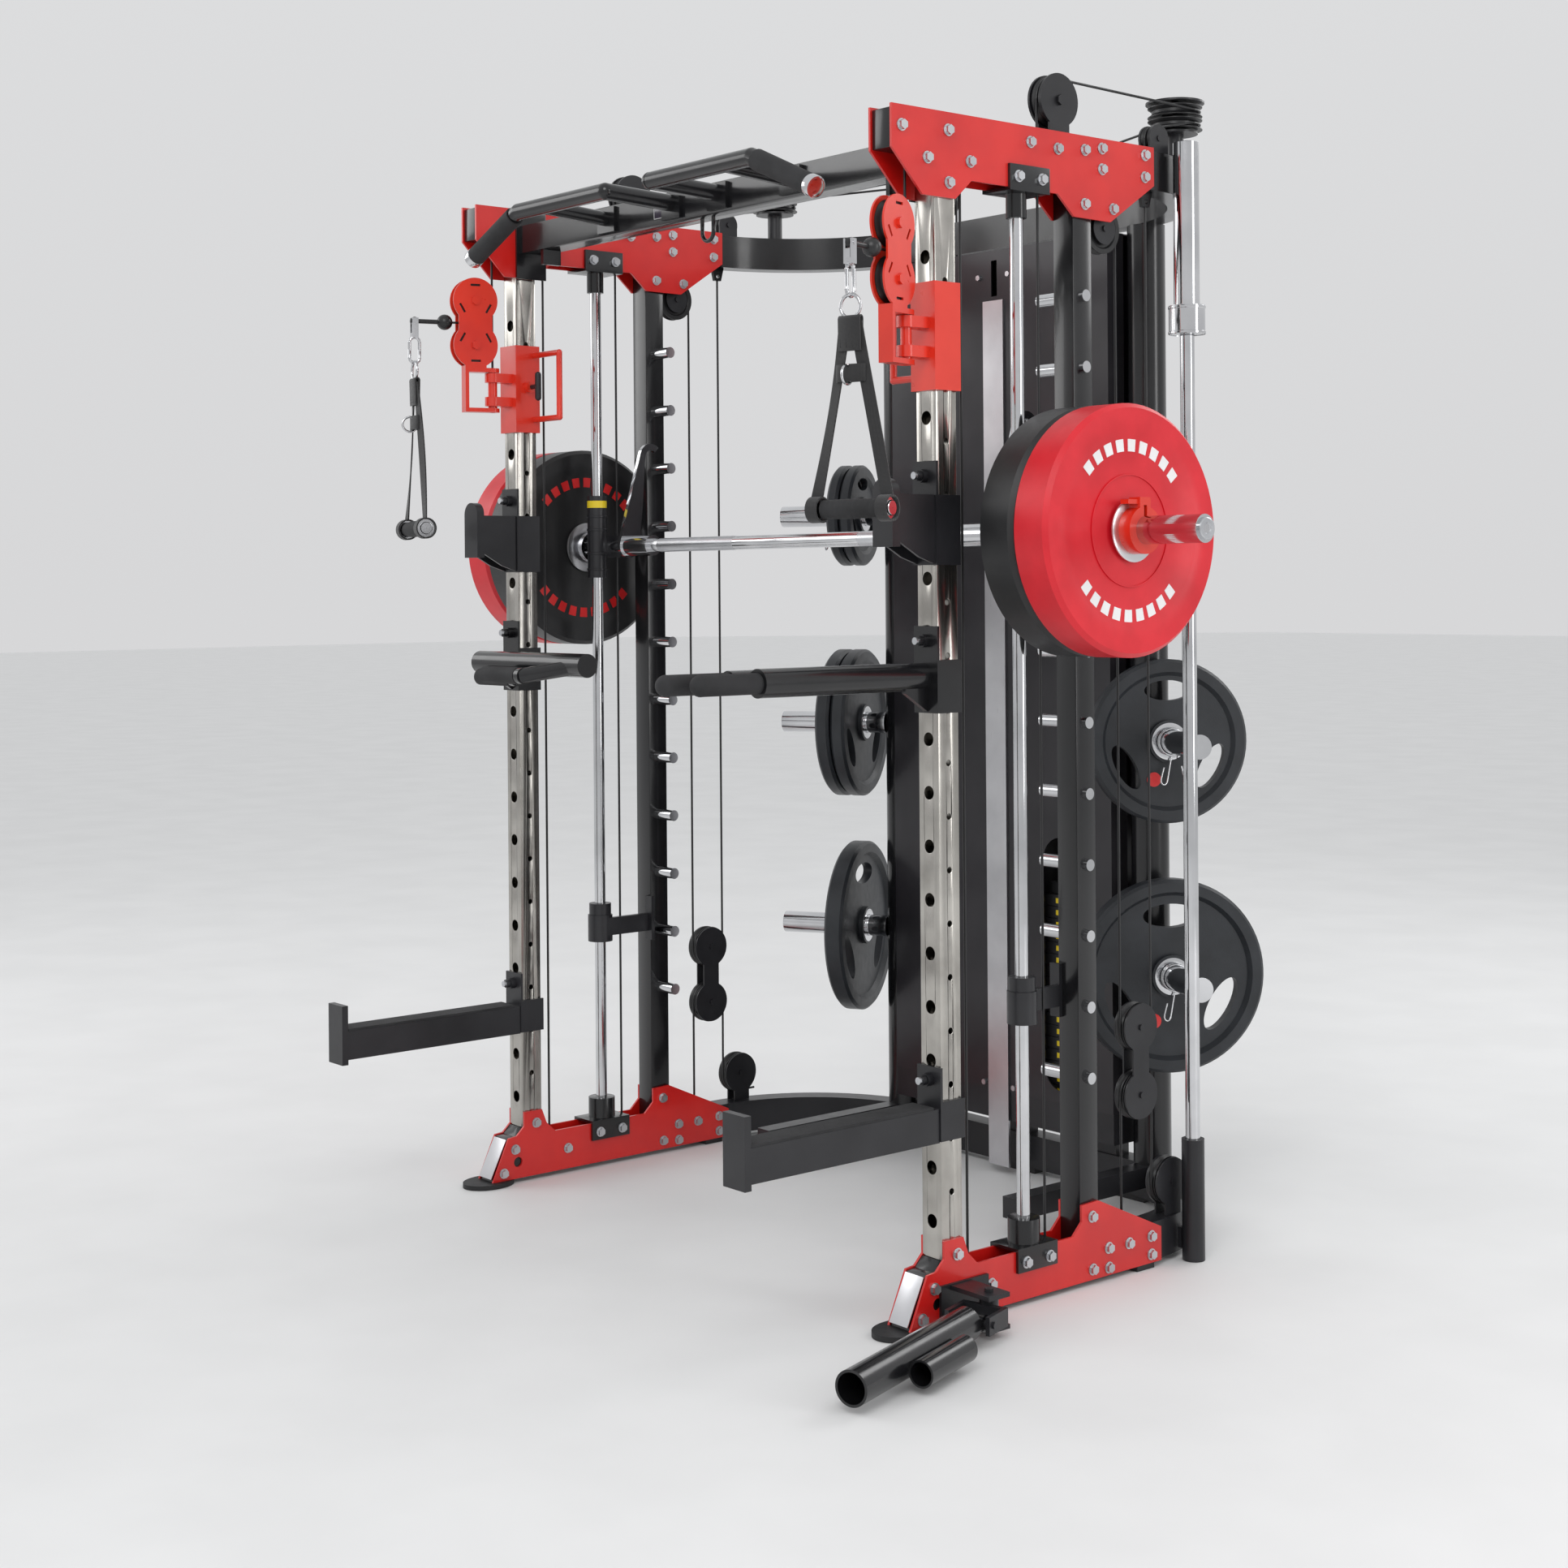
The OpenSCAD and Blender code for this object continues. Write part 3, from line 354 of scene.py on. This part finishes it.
bm = bmesh.new()
for s in (-1, 1):
    for a in (38, 218):
        arc_bars(bm, BAR, s * 0.9108, s, 0.140, 0.163, a, a + 104, 9)
    for a in (80, 260):
        pass
obj_from_bm("bumper_blank_marks", bm, M["white"], "bar", split=30)
bm = bmesh.new()
for s in (-1, 1):
    for a in (38, 218):
        arc_bars(bm, BAR, s * 0.7662, -s, 0.140, 0.163, a, a + 104, 9)
obj_from_bm("bumper_blank_marks_inner", bm, M["reddot"], "bar", split=30)

# sleeve end caps and bearing band
bm = bmesh.new()
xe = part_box("smith_bar")[1].x
for s in (-1, 1):
    lathe(bm, [(0.0005, 0.0002), (0.008, 0.0002), (0.010, 0.0022), (0.0172, 0.0026), (0.0190, 0.0012), (0.0192, -0.001), (0.0005, -0.001)], (s * (xe - 0.0004), BAR.y, BAR.z), (s, 0, 0), 32)
obj_from_bm("sleeve_caps", bm, M["zinc"], "bar")
bm = bmesh.new()
rodc = []
for s in (-1, 1):
    c = P(s * 670, 313, 0)
    lathe(bm, [(0.0219, 0), (0.0225, 0), (0.0225, 0.016), (0.0219, 0.016)], (c.x, c.y, BAR.z + 0.088), (0, 0, 1), 40)
obj_from_bm("bearing_yellow_band", bm, M["yellow"], "bar_carriage")
bm = bmesh.new()
for s in (-1, 1):
    c = P(s * 670, 313, 0)
    for k in range(4):
        z = BAR.z - 0.055 + k * 0.036 if k < 2 else BAR.z + 0.035 + (k - 2) * 0.03
        lathe(bm, [(0.0219, 0), (0.0233, 0.001), (0.0233, 0.005), (0.0219, 0.006)], (c.x, c.y, z), (0, 0, 1), 40)
obj_from_bm("bearing_ribs", bm, M["satin"], "bar_carriage")

# ------------------------------------------------------------------ straps, grips and their stitching
for side, s in SIDES:
    J = JOINTS["handle_%s_swing" % side]
    H = Vector(J["pos_m"]); ax = Vector(J["axis"]).normalized()
    fw = Vector((0, 0, 1)).cross(ax).normalized()     # horizontal, across the strap
    zt, zg = H.z - 0.1335, H.z - 0.452
    body = "handle_" + side

    def ribbon(bm, mid, width, thick, normal):
        """flat webbing along the points in mid; width along ax, thickness along normal; the width and normal arguments
        are not used, each point in mid carries its own width and directions
        """
        rows = []
        for i, (p, wd, wdir, nd) in enumerate(mid):
            a = wdir * wd / 2; b = nd * thick / 2
            prof = [(-1, -0.6), (-0.97, -1), (0.97, -1), (1, -0.6), (1, 0.6), (0.97, 1), (-0.97, 1), (-1, 0.6)]
            rows.append([bm.verts.new(p + a * u + b * v) for u, v in prof])
        for j in range(len(rows) - 1):
            A, B = rows[j], rows[j + 1]
            for i in range(8):
                bm.faces.new((A[i], A[(i + 1) % 8], B[(i + 1) % 8], B[i]))
        bm.faces.new(rows[0][::-1]); bm.faces.new(rows[-1])

    bm = bmesh.new()
    for t in (-1, 1):
        mid = []
        for i in range(41):
            u = i / 40
            x = t * (0.0115 + (0.071 - 0.0115) * (u ** 1.12))
            z = zt + (zg + 0.0215 - zt) * u
            tw = math.sin(math.pi * u) * 0.30 * t
            wd = ax * math.cos(tw) + fw * math.sin(tw)
            nd = fw * math.cos(tw) - ax * math.sin(tw)
            y = t * 0.0028 * (1 - u) * 0 + 0.0034 * math.sin(math.pi * u)
            mid.append((Vector((H.x, H.y, z)) + ax * x + fw * y, 0.0245 - 0.002 * math.sin(math.pi * u), wd, nd))
        ribbon(bm, mid, 0.025, 0.0030, fw)
        # loop round the grip end
        mid = []
        for i in range(33):
            a = 2 * math.pi * i / 32
            c = Vector((H.x, H.y, zg)) + ax * (t * 0.071)
            rad = fw * math.sin(a) + Vector((0, 0, 1)) * math.cos(a)
            mid.append((c + rad * 0.0212, 0.0235, ax, rad))
        ribbon(bm, mid, 0.024, 0.0030, fw)
    # top loop over the ring
    mid = []
    for i in range(25):
        a = math.pi * i / 24
        p = Vector((H.x, H.y, zt + 0.0035)) + fw * (0.0048 * math.cos(a)) + Vector((0, 0, 0.0055 * math.sin(a)))
        rad = (fw * math.cos(a) + Vector((0, 0, 1)) * math.sin(a)).normalized()
        mid.append((p, 0.045, ax, rad))
    mid.insert(0, (Vector((H.x, H.y, zt - 0.050)) + fw * 0.0034, 0.046, ax, fw))
    mid.append((Vector((H.x, H.y, zt - 0.050)) - fw * 0.0034, 0.046, ax, -fw))
    ribbon(bm, mid, 0.045, 0.0028, fw)
    # keeper wrap with the small ring
    for dz in (-0.088,):
        mid = []
        for i in range(25):
            a = 2 * math.pi * i / 24
            p = Vector((H.x, H.y, zt + dz)) + ax * (0.0285 * math.cos(a)) + fw * (0.0066 * math.sin(a))
            rad = (ax * math.cos(a) * 0.4 + fw * math.sin(a)).normalized()
            mid.append((p, 0.030, Vector((0, 0, 1)), rad))
        ribbon(bm, mid, 0.03, 0.0022, fw)
    st = obj_from_bm("webbing_" + side, bm, M["web"], body, split=50)
    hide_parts("strap_" + side)
    # stitching rows
    bm = bmesh.new()
    for sd in (-1, 1):
        for row in (-0.018, -0.006, 0.006, 0.018):
            for k in range(7):
                z = zt - 0.010 - k * 0.0055
                c = Vector((H.x, H.y, z)) + ax * row + fw * sd * 0.0050
                box(bm, (-0.0003, -0.0004, -0.0018), (0.0003, 0.0004, 0.0018), Matrix.Translation(c))
    obj_from_bm("stitches_" + side, bm, M["stack"], body, smooth=False)
    # foam grip with end collars
    bm = bmesh.new()
    prof = []
    L = 0.114
    for i in range(33):
        u = i / 32
        r = 0.0158 + 0.0014 * math.sin(math.pi * u) + 0.0003 * math.cos(u * 60)
        prof.append((r, -L / 2 + L * u))
    prof = [(0.0122, -L / 2)] + prof + [(0.0122, L / 2)]
    lathe(bm, prof, (H.x, H.y, zg), ax, 40)
    g = obj_from_bm("foam_grip_" + side, bm, M["foam"], body, split=60)
    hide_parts("grip_" + side)
    bm = bmesh.new()
    for t in (-1, 1):
        lathe(bm, [(0.0005, 0.0), (0.012, 0.0), (0.0135, -0.002), (0.0135, -0.004), (0.0005, -0.004)], Vector((H.x, H.y, zg)) + ax * t * 0.082, ax * t, 32)
    obj_from_bm("grip_caps_" + side, bm, M["chrome"], body)

# ------------------------------------------------------------------ pull-up handle caps, label plate
bm = bmesh.new()
for s in (-1, 1):
    a, b = P(s * 385, -80, 2095), P(s * 565, -80, 2015)
    d = (b - a).normalized()
    c = a + d * ((b - a).length - 0.0175)
    lathe(bm, [(0.0173, 0), (0.0200, 0), (0.0206, 0.002), (0.0206, 0.0150), (0.0198, 0.0172), (0.0120, 0.0180), (0.0008, 0.0180), (0.0008, 0.0176), (0.0173, 0.0176)], c, d, 40)
obj_from_bm("pullup_caps", bm, M["chrome"], "frame")
bm = bmesh.new()
c = P(-96, 87.2, 2083)
box(bm, (c.x - 0.042, c.y - 0.0016, c.z - 0.021), (c.x + 0.042, c.y + 0.0004, c.z + 0.021), None, 0.0008)
obj_from_bm("blank_label", bm, M["label"], "frame", split=30)
bm = bmesh.new()
for (x0, x1, z0, z1) in ((-0.041, 0.041, 0.019, 0.020), (-0.041, 0.041, -0.020, -0.019), (-0.041, -0.040, -0.020, 0.020), (0.040, 0.041, -0.020, 0.020)):
    box(bm, (c.x + x0, c.y - 0.0020, c.z + z0), (c.x + x1, c.y - 0.0014, c.z + z1))
obj_from_bm("blank_label_rim", bm, M["white"], "frame", smooth=False)

# ------------------------------------------------------------------ grey slanted caps on the front of the feet
bm = bmesh.new()
for s in (-1, 1):
    c0, c1 = P(s * 670, 0, 16), P(s * 670, 40, 97)
    d = (c1 - c0).normalized(); nrm = Vector((0, -d.z, d.y))
    mt = Matrix((Vector((1, 0, 0)), d, nrm)).transposed().to_4x4(); mt.translation = (c0 + c1) / 2 + nrm * 0.0012
    L = (c1 - c0).length / 2
    box(bm, (-0.0235, -L, -0.0012), (0.0235, L, 0.0012), mt, 0.0008)
obj_from_bm("foot_front_caps", bm, M["alu"], "frame", split=30)

# ------------------------------------------------------------------ storage plate hubs, badges and spring clips
PD = Vector((0.87, -0.493, 0))
sets = [(-1, 500, 200, [90], 44), (-1, 985, 175, [90, 128], 34), (-1, 1480, 120, [90, 122], 28), (1, 500, 200, [90], 44), (1, 985, 170, [90], 34)]
bm = bmesh.new(); bb = bmesh.new(); bc = bmesh.new()
for s, z, R, offs, t in sets:
    d = Vector((s * PD.x, PD.y, 0)).normalized()
    side_v = Vector((0, 0, 1)).cross(d)
    base = P(s * 385, 995, z)
    for a in offs:
        for face, sg in ((a / 1000.0, -1), ((a + t) / 1000.0, 1)):
            lathe(bm, [(0.0256, -0.001), (0.0256, 0.0012), (0.034, 0.0016), (0.0385, 0.0010), (0.0388, -0.001)], base + d * face, d * sg, 48)
    a = offs[-1] + t
    # badge
    ang = math.radians(-112 if s > 0 else -68)
    c = base + d * ((a - t * 0.25) / 1000.0 + 0.0004) + side_v * (R / 1000 * 0.50 * math.cos(ang)) + Vector((0, 0, R / 1000 * 0.50 * math.sin(ang)))
    lathe(bb, [(0.0005, 0), (0.0150, 0), (0.0150, 0.0012), (0.0005, 0.0012)], c, d, 32)
    # spring clip: coil with two legs
    cc = base + d * ((a + 6) / 1000.0)
    pts = []
    turns = 3.25
    for i in range(79):
        u = i / 78
        th = 2 * math.pi * turns * u + 0.6
        pts.append(cc + d * (0.0042 * turns * u) + side_v * (0.0275 * math.cos(th)) + Vector((0, 0, 0.0275 * math.sin(th))))
    tube(bc, pts, 0.0018, 8)
    for q, off in ((-0.95, 0.0), (-0.45, 0.0042 * turns)):
        p0 = cc + d * off + side_v * (0.0275 * math.cos(q * math.pi * 0.5)) + Vector((0, 0, 0.0275 * math.sin(q * math.pi * 0.5)))
        dirv = (side_v * (0.25 if q > -0.6 else -0.25) + Vector((0, 0, -1)) + d * 0.18).normalized()
        side2 = dirv.cross(d).normalized()
        loop = [p0, p0 + dirv * 0.03, p0 + dirv * 0.055]
        for i in range(9):
            w = math.pi * i / 8
            loop.append(p0 + dirv * (0.055 + 0.010 * math.sin(w)) + side2 * (0.007 - 0.007 * math.cos(w)))
        loop += [p0 + dirv * 0.030 + side2 * 0.012]
        tube(bc, loop, 0.0018, 8)
obj_from_bm("plate_hub_rings", bm, M["chrome"], "frame")
obj_from_bm("plate_badges", bb, M["reddot"], "frame")
obj_from_bm("spring_clips", bc, M["chrome"], "frame", split=80)

# ------------------------------------------------------------------ stack marks
for side, s in SIDES:
    lo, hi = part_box("stack_" + side)
    bm = bmesh.new()
    cx = (lo.x + hi.x) / 2
    for i in range(17):
        z = lo.z + 0.026 * i + 0.0123
        for k in range(1 + (i % 2)):
            x = cx - s * 0.030 - 0.006 + 0.011 * k
            box(bm, (x, lo.y - 0.0005, z - 0.0055), (x + 0.0075, lo.y + 0.0006, z + 0.0055))
    obj_from_bm("stack_marks_" + side, bm, M["yellow"], "stack_" + side, smooth=False)
    bm = bmesh.new()
    lo2, hi2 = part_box("selector_" + side)
    c = (lo2 + hi2) / 2
    lathe(bm, [(0.0005, 0), (0.0105, 0), (0.0122, -0.0010), (0.0131, -0.003), (0.0131, -0.0125), (0.0100, -0.0142), (0.0100, -0.001), (0.0005, -0.001)], (c.x, lo2.y - 0.0012, c.z), (0, -1, 0), 40)
    obj_from_bm("selector_knob_" + side, bm, M["wheel"], "selector_" + side)

# ------------------------------------------------------------------ knurling bands on the bar, barbell end
bm = bmesh.new()
for s in (-1, 1):
    for x0, x1 in ((0.200, 0.470),):
        n = int((x1 - x0) / 0.0035)
        prof = [(0.0148, x0)]
        for i in range(n):
            xx = x0 + 0.0035 * i
            prof += [(0.01515, xx + 0.0008), (0.01535, xx + 0.0018), (0.01515, xx + 0.0028)]
        prof += [(0.0148, x1)]
        lathe(bm, prof, (0, BAR.y, BAR.z), (s, 0, 0), 40)
obj_from_bm("bar_knurl", bm, M["zinc"], "bar", split=80)
bb_lo, bb_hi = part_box("barbell")
bcx, bcy = (bb_lo.x + bb_hi.x) / 2, (bb_lo.y + bb_hi.y) / 2
bm = bmesh.new()
lathe(bm, [(0.0005, 0.0), (0.017, 0.0), (0.021, -0.0018), (0.0225, -0.0035), (0.0005, -0.0035)], (bcx, bcy, bb_hi.z + 0.0022), (0, 0, 1), 40)
for z in (1.797, 1.846):
    lathe(bm, [(0.0349, 0), (0.0362, 0.0012), (0.0362, 0.0048), (0.0349, 0.006)], (bcx, bcy, z - 0.003), (0, 0, 1), 48)
obj_from_bm("barbell_caps", bm, M["chrome"], "barbell")

# ------------------------------------------------------------------ tower back: screws and folded edges
tlo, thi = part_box("tower_shroud")
bm = bmesh.new()
for x in (-0.320, -0.107, 0.107, 0.320):
    for z in (0.205, 2.038):
        lathe(bm, [(0.0005, 0.0016), (0.0030, 0.0022), (0.0062, 0.0014), (0.0070, -0.0004), (0.0005, -0.0004)], (x, thi.y, z), (0, 1, 0), 20)
for x in (-0.320, 0.320):
    for z in (0.51, 0.815, 1.12, 1.425, 1.73):
        lathe(bm, [(0.0005, 0.0016), (0.0030, 0.0022), (0.0062, 0.0014), (0.0070, -0.0004), (0.0005, -0.0004)], (x, thi.y, z), (0, 1, 0), 20)
obj_from_bm("tower_screws", bm, M["zinc"], "frame")
bm = bmesh.new()
for x in (-0.3055, 0.3055):
    box(bm, (x - 0.0009, thi.y - 0.0004, 0.190), (x + 0.0009, thi.y + 0.0008, 2.052))
obj_from_bm("tower_seams", bm, M["black"], "frame", smooth=False)

# ------------------------------------------------------------------ base floor, backdrop and light
bm = bmesh.new()
R = 45
vs = [bm.verts.new((x, y, -0.0006)) for x, y in ((-R, -R), (R, -R), (R, R), (-R, R))]
bm.faces.new(vs)
me = bpy.data.meshes.new("floor"); bm.to_mesh(me); bm.free()
floor = bpy.data.objects.new("floor", me); SC.collection.objects.link(floor)
mt, nt, bs = new_mat("pale_floor")
n1 = noise(nt, 3, 3)
c = ramp(nt, n1.outputs["Fac"], (0.77, 0.77, 0.77), (0.80, 0.80, 0.80))
nt.links.new(c.outputs["Color"], bs.inputs["Base Color"])
bs.inputs["Roughness"].default_value = 0.6
me.materials.append(mt)

world = bpy.data.worlds.new("studio"); SC.world = world; world.use_nodes = True
wn = world.node_tree
bg = wn.nodes["Background"]
tc = wn.nodes.new("ShaderNodeTexCoord"); sp = wn.nodes.new("ShaderNodeSeparateXYZ")
wn.links.new(tc.outputs["Generated"], sp.inputs["Vector"])
rp = wn.nodes.new("ShaderNodeValToRGB")
rp.color_ramp.elements[0].position = 0.0; rp.color_ramp.elements[0].color = (0.80, 0.80, 0.81, 1)
rp.color_ramp.elements[1].position = 0.55; rp.color_ramp.elements[1].color = (0.90, 0.91, 0.92, 1)
wn.links.new(sp.outputs["Z"], rp.inputs["Fac"])
wn.links.new(rp.outputs["Color"], bg.inputs["Color"])
bg.inputs["Strength"].default_value = 0.85


def area(name, loc, target, size, power, col=(1, 1, 1)):
    l = bpy.data.lights.new(name, "AREA"); l.shape = "RECTANGLE"; l.size, l.size_y = size; l.energy = power; l.color = col
    o = bpy.data.objects.new(name, l); SC.collection.objects.link(o)
    o.location = loc
    o.rotation_mode = "QUATERNION"
    o.rotation_quaternion = (Vector(target) - Vector(loc)).to_track_quat("-Z", "Y")
    return o


area("key", (3.2, -3.6, 4.4), (0, 0, 1.1), (2.4, 2.4), 80)
area("fill", (-4.2, -2.6, 3.2), (0, 0, 1.0), (3.0, 2.0), 40)
area("back", (1.0, 4.6, 3.8), (0, 0, 1.2), (3.2, 1.6), 55)
area("side", (4.8, 1.4, 2.0), (0.6, 0, 1.1), (1.0, 3.0), 38)
SC.view_settings.view_transform = "Standard"
